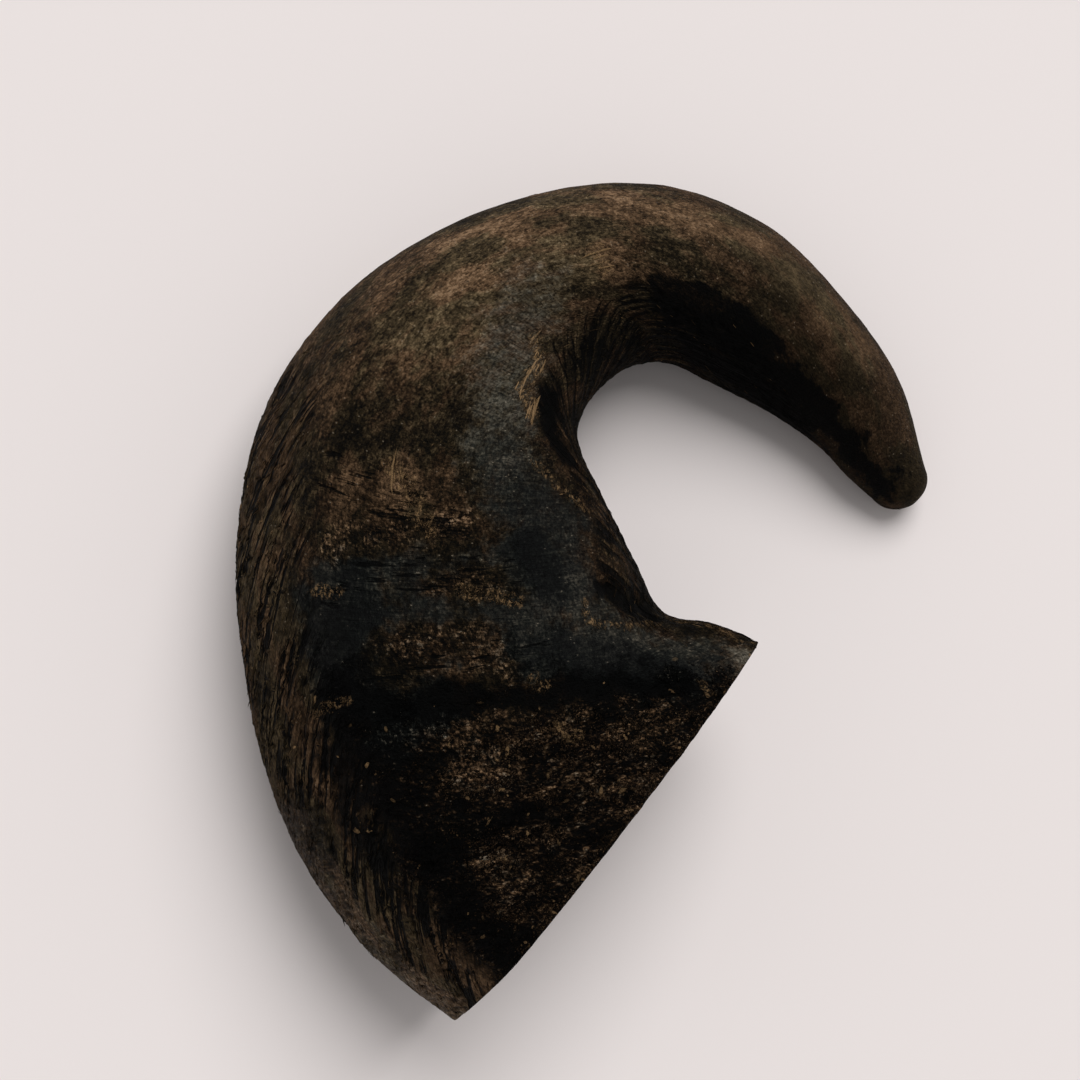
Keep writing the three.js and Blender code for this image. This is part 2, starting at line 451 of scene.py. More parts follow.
def twisted(slope, radius, last_station):
    """The grain of a straight bar with this radius, turned around its middle up to a station.

    What is stretched along it follows the taper of the horn and climbs over it by slope.
    """
    along = grain[..., 0]
    end = np.interp(last_station, station[:, 0], along[:, 0])
    angle = -slope / radius * np.minimum(along, end)
    across = radius * (skin.across * np.cos(angle) + skin.up * np.sin(angle))
    up = radius * (skin.up * np.cos(angle) - skin.across * np.sin(angle))
    return np.stack([along, across, up], axis=-1)


def slots(noise, low, high):
    """Narrow hollows with tapering ends: 1 where noise is below low, 0 above high."""
    return 1 - smoothstep(low, high, noise)


# Growth rings lag behind on the inside of the curl, so what is stretched along them runs aslant.
RING_LAG = 0.55
ring_grain = grain.copy()
ring_grain[..., 0] -= RING_LAG * grain[..., 1]
flank_grain = twisted(slope=-1.2, radius=30, last_station=6)
inner_grain = twisted(slope=0.4, radius=20, last_station=7.5)

worn, blue, valley, dark, umber, light, flaked, cracked = (mark(name) for name in MARKS)

# How much of each texture a place has: bark on the base's top and underside, the flank outside it,
# and wrinkles on the inside of the curl, up to inner_reach around from its middle.
edge_noise = Noise(31)(grain / 6, octaves=3)
base_top = 1 - smoothstep(-0.35, 0.35, station - 2.0 * skin.across - 2.6 + 0.35 * edge_noise)
base_under = 1 - smoothstep(3.0, 4.2, station + 0.5 * edge_noise)
top = smoothstep(-0.25, 0.15, skin.up)
bark = lerp(base_under, base_top, top)
flank = smoothstep(0.395, 0.445, fraction + 0.018 * edge_noise) * (1 - smoothstep(0.6, 0.68, fraction))
flank *= 1 - smoothstep(5.0, 7.0, station)
inner_reach = np.interp(
    station,
    [0, 1.9, 2.1, 3.3, 3.9, 4.6, 5.6, 8.0, 9.5, 11.0],
    [0.05, 0.05, 0.13, 0.12, 0.08, 0.11, 0.17, 0.18, 0.12, 0.0],
)
from_inside = np.minimum(fraction, 1 - fraction)
wrinkled = 1 - smoothstep(inner_reach - 0.04, inner_reach + 0.03, from_inside + 0.02 * edge_noise)
wrinkled *= 1 - 0.6 * worn
bark = bark * (1 - flank) * (1 - wrinkled)

swell = Noise(21)(skin.points / 24, octaves=2)
lumps = Noise(22)(ring_grain / (2.2, 4.4, 4.4), octaves=3, gain=0.6)
folds = Noise(26)(ring_grain / (3.4, 18, 18), octaves=2)
grooves = flank * slots(Noise(23)(flank_grain / (8, 2.0, 2.0), octaves=2), -0.6, -0.3)
wrinkles = Noise(24)(inner_grain / (30, 2.2, 2.2))
cracks = slots(Noise(27)(ring_grain / (1.6, 9, 9), octaves=2), -0.5, -0.22)
cracks *= smoothstep(0.25, 0.8, cracked)

# The relief in millimetres. All of it sinks a little, so that its ridges stay in the CAD horn's box.
SINK = 0.2
relief = (
    0.25 * swell
    + bark * (1 - 0.8 * worn) * (0.5 * lumps + 0.4 * folds)
    + 0.17 * wrinkled * wrinkles
    + 0.1 * worn
    + 0.08 * (1 - worn) * Noise(25)(grain / 2.2)
    - 0.45 * grooves
    - 0.2 * cracks
    - 0.9 * valley
    - SINK
)
skin.points = skin.points + relief[..., None] * skin.normals()
skin.points[0, :, 1] = 0.0
skin.points[..., 2] = np.maximum(skin.points[..., 2], 0.0)

# How dark or pale the keratin is, from 0, soot, to 1, bleached: first along the crown, then where
# the other textures are, and then at the saw cut, with painted shade inside the hook, and in the
# marks, which add stains and painted shade.
shade = np.interp(
    station,
    [0, 3.8, 4.6, 5.4, 6.4, 8.0, 10.0, 11.5, 13.0],
    [0.34, 0.35, 0.39, 0.41, 0.56, 0.53, 0.52, 0.51, 0.50],
)
shade = lerp(shade, 0.56, flank)
shade = lerp(shade, 0.32, wrinkled)
shade = lerp(shade, 0.305, bark)
# The shade of rubbed places: their own worn colour, and on the crest a painted sheen of its polish.
worn_shade_and_sheen = np.interp(station, [0, 3, 3.4, 4.2, 4.8, 5.5, 7], [0.47, 0.41, 0.32, 0.31, 0.49, 0.6, 0.52])
shade = lerp(shade, worn_shade_and_sheen, worn)
shade += 0.08 * (1 - smoothstep(0.0, 0.3, station))
# Painted shade on the hook's inner half, darker towards the inside of the curl.
shade -= 0.07 * smoothstep(8.4, 9.4, station) * (1 - smoothstep(0.2, 0.38, fraction))
shade = shade + 0.17 * light + (0.06 + 0.1 * bark) * umber
# Blue-black stains, and painted shade in the dark marks and along the groove at the foot of the shelf.
shade = shade - 0.2 * blue - 0.06 * dark - 0.12 * valley

# How far its brown has turned to slate grey.
cool = 0.72 * worn * (1 - 0.9 * umber) * (1 - 0.6 * flank)
cool = cool * (1 - 0.3 * smoothstep(5.2, 6.4, station))
cool = np.clip(cool + 0.8 * blue, 0, 1)

# What the materials read at each point of the skin. cracks are the ones in the shape, tone makes
# a loose piece paler than the skin, depth goes across the sawn rim, and calm evens out the hook.
FIELDS = {
    "shade": shade,
    "cool": cool,
    "worn": worn * (1 - 0.8 * umber),
    "bark": np.maximum(bark, 0.55 * umber),
    "flank": flank,
    "wrinkled": wrinkled,
    # The dark marks, stronger on the hook: painted shade in the groove, the notch and on the hook's
    # inner wall, and sooty stains.
    "soot_and_painted_shade": dark * lerp(0.75, 1.0, smoothstep(7.5, 8.5, station)),
    "flaked": flaked,
    "cracked": cracked,
    "cracks": np.maximum(0.4 * cracks, grooves),
    "tone": np.zeros_like(worn),
    "depth": np.ones_like(worn),
    "calm": smoothstep(8.6, 10.2, station),
}
DIRECTIONS = {
    "grain": grain,
    "ring_grain": ring_grain,
    "flank_grain": flank_grain,
    "inner_grain": inner_grain,
}

# ---- horn mesh


def hollow_rings():
    """The hollow's rings, from its deep end to the saw cut, and the point that closes it."""
    at = np.linspace(len(HOLLOW) - 1, 0, HOLLOW_RINGS)
    hollow_station, half_width, half_height = spline(HOLLOW, at).T
    middle, across, _, _ = sections_at(hollow_station)
    outline = round_outline(around_fractions(), HOLLOW_SQUARENESS)
    rings = rings_of(middle, unit(across) * half_width[:, None], half_height, outline)
    ridges = Noise(41)(rings / (3.0, 14.0, 3.0), octaves=3)
    rings = rings + 0.7 * ridges[..., None] * unit(rings - middle[:, None])
    rings[-1, :, 1] = 0.0
    end = sections_at(np.array([HOLLOW_END_STATION]))[0][0]
    return rings, end


def grid_corners(rings):
    """The ring and column numbers of the corners of all quads between rings of points."""
    ring, column = np.meshgrid(np.arange(rings - 1), np.arange(AROUND), indexing="ij")
    return [(ring, column), (ring + 1, column), (ring + 1, column + 1), (ring, column + 1)]


def grid_faces(rings):
    """Quads between rings of points that close on themselves."""
    corners = [ring * AROUND + column % AROUND for ring, column in grid_corners(rings)]
    return np.stack(corners, axis=-1).reshape(-1, 4)


def map_places(corners):
    """One row for each corner of each face, from a list of the corners' (u, v) arrays."""
    return np.stack([np.stack([u, v], axis=-1) for u, v in corners], axis=-2).reshape(-1, 2)


def grid_map(rings):
    """The quads' map places: u around the horn, and v from the first ring to the last."""
    corners = grid_corners(rings)
    return map_places([(column / AROUND, (ring + 1) / (rings + 1)) for ring, column in corners])


def fan_map(*corners):
    """The map places of an end's triangles, whose corners are a share of a column and v."""
    column = np.arange(AROUND)
    return map_places([((column + share) / AROUND, np.full(AROUND, v)) for share, v in corners])


def row_shift():
    """From this script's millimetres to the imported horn's place, which is the middle of its box."""
    low, high = (np.array(corner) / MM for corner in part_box("horn"))
    flat = skin.points.reshape(-1, 3)
    shift = (low + high) / 2 - (flat.min(axis=0) + flat.max(axis=0)) / 2
    shift[2] = 0
    return shift


SHIFT = row_shift()


def add_object(name, data):
    """A new object in the scene."""
    thing = bpy.data.objects.new(name, data)
    bpy.context.scene.collection.objects.link(thing)
    return thing


def mesh_object(name, vertices, faces, fields, directions, places):
    """A smooth mesh object with point attributes, and a map for its corners."""
    mesh = bpy.data.meshes.new(name)
    mesh.from_pydata(((vertices + SHIFT) * MM).tolist(), [], faces)
    mesh.polygons.foreach_set("use_smooth", [True] * len(mesh.polygons))
    for field, values in fields.items():
        attribute = mesh.attributes.new(field, "FLOAT", "POINT")
        attribute.data.foreach_set("value", values)
    for direction, values in directions.items():
        attribute = mesh.attributes.new(direction, "FLOAT_VECTOR", "POINT")
        attribute.data.foreach_set("vector", values.ravel())
    mesh.uv_layers.new(name="OFBake").data.foreach_set("uv", places.ravel())
    return add_object(name, mesh)


# The order of the materials on the horn.
SKIN_MATERIAL, SAWN_MATERIAL, HOLLOW_MATERIAL = range(3)


def build_horn():
    """One closed skin: the hollow from its deep end, the sawn rim, and the outside to the tip."""
    hollow, hollow_end = hollow_rings()
    steps = np.linspace(0, 1, RIM_RINGS + 2)[1:-1, None, None]
    rim = hollow[-1] * (1 - steps) + skin.points[0] * steps
    grid = np.concatenate([hollow, rim, skin.points])
    vertices = np.concatenate([grid.reshape(-1, 3), [hollow_end, skin.tip]])
    quads = grid_faces(len(grid))
    column = np.arange(AROUND)
    after = (column + 1) % AROUND
    last = (len(grid) - 1) * AROUND
    start_fan = np.stack([np.full(AROUND, len(vertices) - 2), column, after], axis=-1)
    end_fan = np.stack([np.full(AROUND, len(vertices) - 1), last + after, last + column], axis=-1)
    faces = quads.tolist() + start_fan.tolist() + end_fan.tolist()
    low, high = 1 / (len(grid) + 1), len(grid) / (len(grid) + 1)
    places = np.concatenate([
        grid_map(len(grid)),
        fan_map((0.5, 0.0), (0, low), (1, low)),
        fan_map((0.5, 1.0), (1, high), (0, high)),
    ])

    hollow_end_ring = (len(hollow) - 1) * AROUND
    inside = (len(hollow) + RIM_RINGS) * AROUND
    fields = {}
    for name, values in FIELDS.items():
        fields[name] = np.concatenate([np.zeros(inside), values.ravel(), [0, values[-1].mean()]])
    fields["depth"][hollow_end_ring:inside] = np.repeat(np.linspace(0, 1, RIM_RINGS + 2)[:-1], AROUND)
    directions = {}
    for name, values in DIRECTIONS.items():
        ends = [hollow_end, values[-1].mean(axis=0)]
        directions[name] = np.concatenate([vertices[:inside], values.reshape(-1, 3), ends])
    horn = mesh_object("horn_skin", vertices, faces, fields, directions, places)
    materials = np.full(len(faces), SKIN_MATERIAL)
    materials[:hollow_end_ring] = HOLLOW_MATERIAL
    materials[hollow_end_ring:inside] = SAWN_MATERIAL
    materials[len(quads):len(quads) + AROUND] = HOLLOW_MATERIAL
    horn.data.polygons.foreach_set("material_index", materials)
    return horn


# ---- crumbs and fibres

# Pieces that start before this station are sawn off at the cut.
CUT_STATION = 3
# The pieces' smallest height over the floor, the share of their height that they are sunk by, the
# power that makes most of them small, and how much finer than the skin's their own texture is.
FLOOR_GAP = 0.02
SUNK_SHARE = 0.25
MOSTLY_SMALL = 2.5
PIECE_GRAIN = 3.0
# Angles of the pieces from the horn's length, in radians. The flakes on the base lie across it.
RINGWISE = np.pi / 2 + 0.45
ALONG_FLANK = -0.85
ALONG_INNER = -0.45
ALONG_FLAKES = np.where((station < 4.7) & (fraction > 0.19), np.pi / 2 + 0.3, 0.0)


def scatter(weight, count, seed):
    """Random places on the skin, closest together where weight is high: ring and column numbers."""
    along = np.linalg.norm(np.gradient(skin.points, axis=0), axis=-1)
    around = np.linalg.norm(np.roll(skin.points, -1, axis=1) - skin.points, axis=-1)
    chance = (weight * along * around).ravel()
    picks = np.random.default_rng(seed).choice(chance.size, count, p=chance / chance.sum())
    return np.unravel_index(picks, weight.shape)


def crumb_shape(count, random):
    """Unit crumbs, flat and uneven: a rim of six points, a top and a bottom, as 12 triangles."""
    sides = 6
    even = np.arange(sides) * 2 * np.pi / sides
    angle = even + random.uniform(-0.3, 0.3, (count, sides))
    radius = random.uniform(0.65, 1.15, (count, sides))
    rim = np.stack([radius * np.cos(angle), radius * np.sin(angle), np.zeros_like(angle)], axis=-1)
    top_x, top_y = (random.uniform(-0.4, 0.4, count) for _ in range(2))
    top = np.stack([top_x, top_y, np.ones(count)], axis=-1)
    points = np.concatenate([rim, top[:, None], -top[:, None]], axis=1)
    top_point, bottom_point = sides, sides + 1
    rim_pairs = [(k, (k + 1) % sides) for k in range(sides)]
    upper = [(a, b, top_point) for a, b in rim_pairs]
    lower = [(b, a, bottom_point) for a, b in rim_pairs]
    flat = [(0.5 + 0.5 * np.cos(turn), 0.5 + 0.5 * np.sin(turn)) for turn in even] + [(0.5, 0.5)] * 2
    places = []
    for start, side in ((0.0, upper), (0.5, lower)):
        places += [[(start + 0.5 * flat[k][0], flat[k][1]) for k in face] for face in side]
    return points, upper + lower, places


def fibre_shape(count, random):
    """Unit fibres that taper to both ends and bow up in the middle, as 12 triangles."""
    turn = np.arange(3) * 2 * np.pi / 3
    rings = []
    for at in (-0.35, 0.35):
        width = random.uniform(0.7, 1.2, (count, 1))
        ring = [np.full((count, 3), at), width * np.cos(turn), width * np.sin(turn)]
        rings.append(np.stack(ring, axis=-1))
    ends = np.zeros((count, 2, 3))
    ends[:, :, 0] = (-1, 1)
    ends[:, :, 1] = random.uniform(-2, 2, (count, 2))
    ends[:, :, 2] = -1.2
    points = np.concatenate(rings + [ends], axis=1)
    faces, places = [], []
    for k in range(3):
        a, b = k, (k + 1) % 3
        low, high = k / 3, (k + 1) / 3
        faces += [(6, b, a), (a, b, 3 + b), (a, 3 + b, 3 + a), (3 + a, 3 + b, 7)]
        places += [
            [(0, (low + high) / 2), (0.3, high), (0.3, low)],
            [(0.3, low), (0.3, high), (0.7, high)],
            [(0.3, low), (0.7, high), (0.7, low)],
            [(0.7, low), (0.7, high), (1, (low + high) / 2)],
        ]
    return points, faces, places


def build_scatter(name, shape, weight, count, seed, sizes, turn, turn_spread, tone, lift):
    """One joined mesh of many small pieces that are half sunk in the skin.

    sizes are the smallest and largest (half length, half width, half height) in mm, turn is the
    angle from the horn's length to the piece's length, tone is the mean and the spread of how much
    paler the pieces are than the skin, and lift is how far an end may stand up.
    """
    random = np.random.default_rng(seed)
    ring, column = scatter(weight, count, seed)
    ring = np.clip(ring, 1, len(skin.points) - 2)
    after = (column + 1) % AROUND
    here = skin.points[ring, column]
    along = (skin.points[ring + 1, column] - skin.points[ring - 1, column]) / 2
    around = skin.points[ring, after] - here
    middle = here + random.uniform(-0.5, 0.5, (count, 1)) * along
    middle = middle + random.uniform(0, 1, (count, 1)) * around
    normal = unit(np.cross(along, around))
    side = unit(np.cross(normal, along))
    forward = unit(along)
    turn = np.broadcast_to(turn, worn.shape)[ring, column]
    angle = (turn + random.normal(0, turn_spread, count))[:, None]
    lengthwise = forward * np.cos(angle) + side * np.sin(angle)
    sideways = np.cross(normal, lengthwise)
    low, high = (np.array(size) for size in sizes)
    size = low + (high - low) * random.uniform(0, 1, (count, 1)) ** MOSTLY_SMALL
    points, faces, cell = shape(count, random)
    local = points * size[:, None]
    tilt = lift * random.uniform(-1, 1, (count, 1)) * points[..., 0]
    local[..., 2] += tilt - SUNK_SHARE * size[:, 2:3]
    axes = np.stack([lengthwise, sideways, normal], axis=1)
    vertices = middle[:, None] + local @ axes
    sawn_off = station[ring, 0] < CUT_STATION
    vertices[sawn_off, :, 1] = np.maximum(vertices[sawn_off, :, 1], 0.0)
    vertices[..., 2] = np.maximum(vertices[..., 2], FLOOR_GAP)

    per_piece = points.shape[1]
    first = per_piece * np.arange(count)[:, None, None]
    all_faces = (np.array(faces)[None] + first).reshape(-1, 3)
    # The map has a square cell for each piece.
    across = int(np.ceil(np.sqrt(count)))
    corner = np.stack([np.arange(count) % across, np.arange(count) // across], axis=-1)
    places = (corner[:, None, None] + 0.1 + 0.8 * np.array(cell)[None]) / across
    fields = {key: np.repeat(values[ring, column], per_piece) for key, values in FIELDS.items()}
    fields["tone"] = np.repeat(random.normal(*tone, count), per_piece)
    fields["cracks"] = np.zeros_like(fields["cracks"])
    directions = {}
    for key, values in DIRECTIONS.items():
        directions[key] = (values[ring, column][:, None] + PIECE_GRAIN * local).reshape(-1, 3)
    return mesh_object(name, vertices.reshape(-1, 3), all_faces.tolist(), fields, directions, places)


# ---- materials


class Nodes:
    """Short calls that add the nodes of one material."""

    def __init__(self, name):
        self.material = bpy.data.materials.new(name)
        self.material.use_nodes = True
        self.tree = self.material.node_tree
        self.shader = self.tree.nodes["Principled BSDF"]

    def set(self, socket, value):
        if isinstance(value, bpy.types.NodeSocket):
            self.tree.links.new(value, socket)
        else:
            socket.default_value = value

    def add(self, kind, inputs, output=0, **settings):
        node = self.tree.nodes.new(kind)
        for name, value in settings.items():
            setattr(node, name, value)
        for key, value in inputs.items():
            self.set(node.inputs[key], value)
        return node.outputs[output]

    def attribute(self, name, output="Fac"):
        return self.add("ShaderNodeAttribute", {}, output, attribute_name=name)

    def math(self, operation, a, b=0.0, c=0.0):
        return self.add("ShaderNodeMath", {0: a, 1: b, 2: c}, operation=operation)

    def times(self, a, b):
        return self.math("MULTIPLY", a, b)

    def plus(self, *values):
        return reduce(lambda a, b: self.math("ADD", a, b), values)

    def scaled(self, at, stretch):
        return self.add("ShaderNodeVectorMath", {0: at, 1: stretch}, operation="MULTIPLY")

    def noise(self, at, stretch, detail=3.0, roughness=0.55):
        """Soft noise around 0.5; stretch is how many waves there are in a millimetre."""
        place = self.scaled(at, stretch)
        settings = {"Vector": place, "Scale": 1.0, "Detail": detail, "Roughness": roughness}
        return self.add("ShaderNodeTexNoise", settings)

    def furrows(self, at, stretch, width):
        """Thin winding lines, 1 along their middle."""
        lie = self.noise(at, stretch, detail=3, roughness=0.5)
        return self.step(self.math("ABSOLUTE", self.plus(lie, -0.5)), width, 0.2 * width)

    def cells(self, at, stretch):
        """Grains: how far a point is from its grain's middle, and a random number for each."""
        node = self.tree.nodes.new("ShaderNodeTexVoronoi")
        self.set(node.inputs["Vector"], self.scaled(at, stretch))
        node.inputs["Scale"].default_value = 1.0
        return node.outputs["Distance"], self.add("ShaderNodeSeparateColor", {0: node.outputs["Color"]})

    def ramp(self, value, stops):
        """A colour from a list of (position, colour)."""
        node = self.tree.nodes.new("ShaderNodeValToRGB")
        elements = node.color_ramp.elements
        while len(elements) < len(stops):
            elements.new(1.0)
        for element, (position, colour) in zip(elements, stops):
            element.position = position
            element.color = (*colour, 1)
        self.set(node.inputs[0], value)
        return node.outputs[0]

    def total(self, *parts):
        """The sum of (amount, value) pairs; each value counts from the middle of its noise."""
        return self.plus(*[self.times(self.plus(value, -0.5), amount) for amount, value in parts])

    def step(self, value, low, high, to_low=0.0, to_high=1.0):
        """Smoothly from to_low to to_high, as value goes from low to high."""
        inputs = {"Value": value, "From Min": low, "From Max": high, "To Min": to_low, "To Max": to_high}
        return self.add("ShaderNodeMapRange", inputs, interpolation_type="SMOOTHSTEP")

    def mix(self, factor, a, b, blend="MIX"):
        return self.add("ShaderNodeMix", {0: factor, 6: a, 7: b}, 2, data_type="RGBA", blend_type=blend)

    def blend(self, factor, a, b):
        """Blends two numbers."""
        return self.add("ShaderNodeMix", {0: factor, 2: a, 3: b}, 0, data_type="FLOAT")

    def bump(self, height, distance):
        return self.add("ShaderNodeBump", {"Height": height, "Distance": distance, "Strength": 1.0})

    def finish(self, colour, roughness, normal=None, specular=0.15):
        sockets = {"Base Color": colour, "Roughness": roughness, "Specular IOR Level": specular}
        if normal is not None:
            sockets["Normal"] = normal
        for name, value in sockets.items():
            self.set(self.shader.inputs[name], value)
        return self.material


# Keratin from soot to bleached, as (shade, colour): while brown, and turned to slate.
BROWNS = [
    (0.00, (0.0007, 0.0006, 0.0005)),
    (0.25, (0.0042, 0.0028, 0.0015)),
    (0.45, (0.0172, 0.0109, 0.0053)),
    (0.62, (0.0478, 0.0316, 0.0171)),
    (0.8, (0.106, 0.07, 0.0385)),
    (1.00, (0.23, 0.16, 0.095)),
]
SLATES = [
    (0.00, (0.0006, 0.0007, 0.0007)),
    (0.25, (0.003, 0.0035, 0.0033)),
    (0.42, (0.0105, 0.0109, 0.009)),
    (0.55, (0.0285, 0.0265, 0.0205)),
    (0.75, (0.078, 0.07, 0.053)),
    (1.00, (0.22, 0.2, 0.16)),
]
PITCH = (0.0036, 0.0031, 0.0027, 1)
BROWN = (0.062, 0.042, 0.0245, 1)
BROWN_DARK = (0.0165, 0.012, 0.0075, 1)
FAWN = (0.115, 0.079, 0.049, 1)
TAN = (0.29, 0.178, 0.084, 1)
PALE = (0.24, 0.2, 0.15, 1)
# Faint tints that the brown wanders between.
RUSSET = (0.62, 0.48, 0.43, 1)
OLIVE = (0.46, 0.52, 0.45, 1)


class Places:
    """The coordinates and the shared noises that the textures of the skin are made from."""

    def __init__(self, n):
        directions = [n.attribute(name, "Vector") for name in DIRECTIONS]
        self.grain, self.rings, self.flank, self.inner = directions
        self.patch = n.noise(self.grain, (0.09, 0.12, 0.12), detail=5, roughness=0.6)
        self.blotch = n.noise(self.grain, (0.22, 0.3, 0.3), detail=6, roughness=0.75)
        self.mottle = n.noise(self.grain, (0.45, 0.55, 0.55), detail=5, roughness=0.7)
        self.grit = n.noise(self.grain, (1.5, 2.2, 2.2), detail=3, roughness=0.65)
        # How strong the noises are, less on the calm hook.
        self.strength = n.blend(n.attribute("calm"), 1.0, 0.5)
        self.lump_distance, self.lump_tint = n.cells(self.rings, (1.0, 0.6, 0.6))
        self.grain_distance, self.grain_tint = n.cells(self.rings, (2.4, 1.6, 1.6))


# Each texture gives how much paler it makes the keratin, and its height in millimetres.


def crown_texture(n, at):
    """The outer curve and the tip: dull, blotched and gritty, with short streaks along the horn."""
    streak = n.noise(at.grain, (0.55, 1.6, 1.6), detail=4, roughness=0.65)
    fleck = n.step(n.noise(at.grain, (1.0, 1.4, 1.4), detail=2), 0.42, 0.34)
    pale = n.times(n.step(at.blotch, 0.5, 0.62), n.blend(n.attribute("light"), 0.04, 0.24))
    shade = n.total((0.22, streak), (0.7, at.blotch), (0.55, at.patch), (0.26, at.grain_tint))
    shade = n.times(n.plus(shade, pale, n.times(fleck, -0.13)), at.strength)
    height = n.total((0.6, at.grit), (0.12, streak), (0.6, at.mottle), (-0.25, at.grain_distance))
    return shade, height


def bark_texture(n, at):
    """The crumbling base: lumps and grains of every shade with deep pits between them."""
    # Painted shade in the pits between the lumps.
    pits = n.step(n.plus(at.lump_distance, at.mottle), 0.85, 1.15)
    band = n.noise(at.rings, (0.24, 0.07, 0.07), detail=3, roughness=0.6)
    shade = n.total((0.14, at.lump_tint), (0.6, at.grain_tint), (0.9, at.mottle), (1.2, at.grit))
    shade = n.plus(shade, n.total((1.7, band)), n.times(pits, -0.24))
    grains = n.total((-0.9, at.lump_distance), (-0.5, at.grain_distance))
    height = n.plus(grains, n.total((0.8, at.grit), (1.1, at.mottle)))
    return shade, height


def flank_texture(n, at):
    """The outer side of the base: fibres cut by slanting grooves, with painted shade in the grooves and
    a painted highlight on their lips.
    """
    fibre = n.noise(at.flank, (0.12, 1.6, 1.6), detail=4, roughness=0.65)
    open_here = n.step(n.noise(at.flank, (0.1, 0.22, 0.22), detail=2), 0.42, 0.55)
    furrow_stretch = (0.07, 0.34, 0.34)
    furrow = n.times(n.furrows(at.flank, furrow_stretch, 0.085), open_here)
    lip = n.times(n.furrows(at.flank, furrow_stretch, 0.2), open_here)
    shade = n.plus(n.total((0.5, fibre)), n.times(furrow, -0.75), n.times(lip, 0.22))
    height = n.plus(n.total((0.6, fibre), (0.3, at.grit)), n.times(furrow, -2.0))
    return shade, height


def wrinkled_texture(n, at):
    """The inside of the curl: long tight wrinkles, with painted shade in the furrows between them and a
    painted highlight on their crests.
    """
    wrinkle = n.noise(at.inner, (0.03, 0.8, 0.8), detail=3, roughness=0.6)
    furrow = n.math("MAXIMUM", n.step(wrinkle, 0.47, 0.4), n.furrows(at.inner, (0.05, 0.45, 0.45), 0.05))
    crest = n.step(wrinkle, 0.52, 0.64)
    shade = n.plus(n.total((0.5, at.grit)), n.times(furrow, -0.34), n.times(crest, 0.2))
    height = n.plus(n.total((1.5, wrinkle), (0.3, at.grit)), n.times(furrow, -0.7))
    return shade, height


def worn_texture(n, at):
    """The rubbed crest: smooth, with faint streaks along the growth rings."""
    streak = n.noise(at.rings, (1.9, 0.16, 0.16), detail=4, roughness=0.7)
    return n.total((0.6, streak), (0.2, at.grain_tint)), n.total((0.3, streak), (0.3, at.grit))


# Laid over the crown's texture in this order, each where its field says.
TEXTURES = {
    "bark": bark_texture,
    "flank": flank_texture,
    "wrinkled": wrinkled_texture,
    "worn": worn_texture,
}


def keratin():
    """The whole outside: a shade and a hue from the attributes, and each texture in its place."""
    n = Nodes("keratin")
    at = Places(n)
    ragged = n.total((1.5, at.mottle), (0.6, at.patch), (0.5, at.grit))
    shade, height = crown_texture(n, at)
    amounts = {}
    for name, texture in TEXTURES.items():
        amounts[name] = n.step(n.plus(n.attribute(name), ragged), 0.2, 0.8)
        texture_shade, texture_height = texture(n, at)
        shade = n.blend(amounts[name], shade, texture_shade)
        height = n.blend(amounts[name], height, texture_height)
    shared = n.total((0.4, at.patch), (0.55, at.mottle), (0.8, at.grit))
    tone = n.times(n.attribute("tone"), 0.12)
    shade = n.plus(shade, n.attribute("shade"), n.times(shared, at.strength), tone)
    # Crisp-edged darkening where the dark marks are: painted shade in the groove, the notch and on the
    # hook's inner wall, and sooty stains.
    soot_and_painted_shade = n.step(n.plus(n.attribute("soot_and_painted_shade"), n.times(ragged, 1.5)), 0.3, 0.75)
    shade = n.plus(shade, n.times(soot_and_painted_shade, n.blend(n.attribute("bark"), -0.4, -0.22)))

    # Cracks along the growth rings, with paler edges: painted shade in them and in the cracks and
    # grooves of the mesh.
    split = n.noise(at.rings, (1.0, 0.14, 0.14), detail=3, roughness=0.6)
    cracked = n.step(n.plus(n.attribute("cracked"), ragged), 0.3, 0.9)
    crack = n.times(cracked, n.step(split, 0.42, 0.37))
    edge = n.times(cracked, n.times(n.step(split, 0.42, 0.47), n.step(split, 0.56, 0.48)))
    open_crack = n.times(n.attribute("cracks"), -0.25)
    shade = n.plus(shade, n.times(crack, -0.35), n.times(edge, 0.12), open_crack)
    height = n.plus(height, n.times(crack, -0.8))

    grey_grain = n.times(n.attribute("bark"), n.step(at.lump_tint, 0.5, 0.9))
    shade = n.plus(shade, n.times(grey_grain, -0.09))
    hue = n.step(n.plus(n.attribute("cool"), n.times(grey_grain, 0.36), ragged), 0.15, 0.85)
    colour = n.mix(hue, n.ramp(shade, BROWNS), n.ramp(shade, SLATES))
    russet = n.math("MAXIMUM", amounts["bark"], n.step(at.patch, 0.44, 0.56))
    colour = n.mix(n.blend(hue, 0.5, 0.1), colour, n.mix(russet, OLIVE, RUSSET), "SOFT_LIGHT")
    strand = n.step(n.noise(at.grain, (0.9, 1.3, 1.3), detail=3, roughness=0.7), 0.5, 0.58)
    strand = n.times(strand, n.step(n.plus(n.attribute("flaked"), ragged), 0.4, 0.95))
    strand = n.math("MAXIMUM", n.times(strand, 0.5), n.step(n.attribute("tone"), 1.4, 2.2, 0.0, 0.85))
    colour = n.mix(strand, colour, TAN)
    height = n.plus(height, n.times(strand, 0.5))
    # Pale specks: pale grit, and painted glints.
    speck = n.times(n.step(at.grain_tint, 0.962, 0.97), n.step(at.grain_distance, 0.34, 0.16))
    colour = n.mix(n.times(speck, n.step(shade, 0.15, 0.5, 0.0, 0.5)), colour, PALE)
    roughness = n.blend(amounts["worn"], 0.74, 0.5)
    return n.finish(colour, roughness, n.bump(height, MM), specular=0.045)


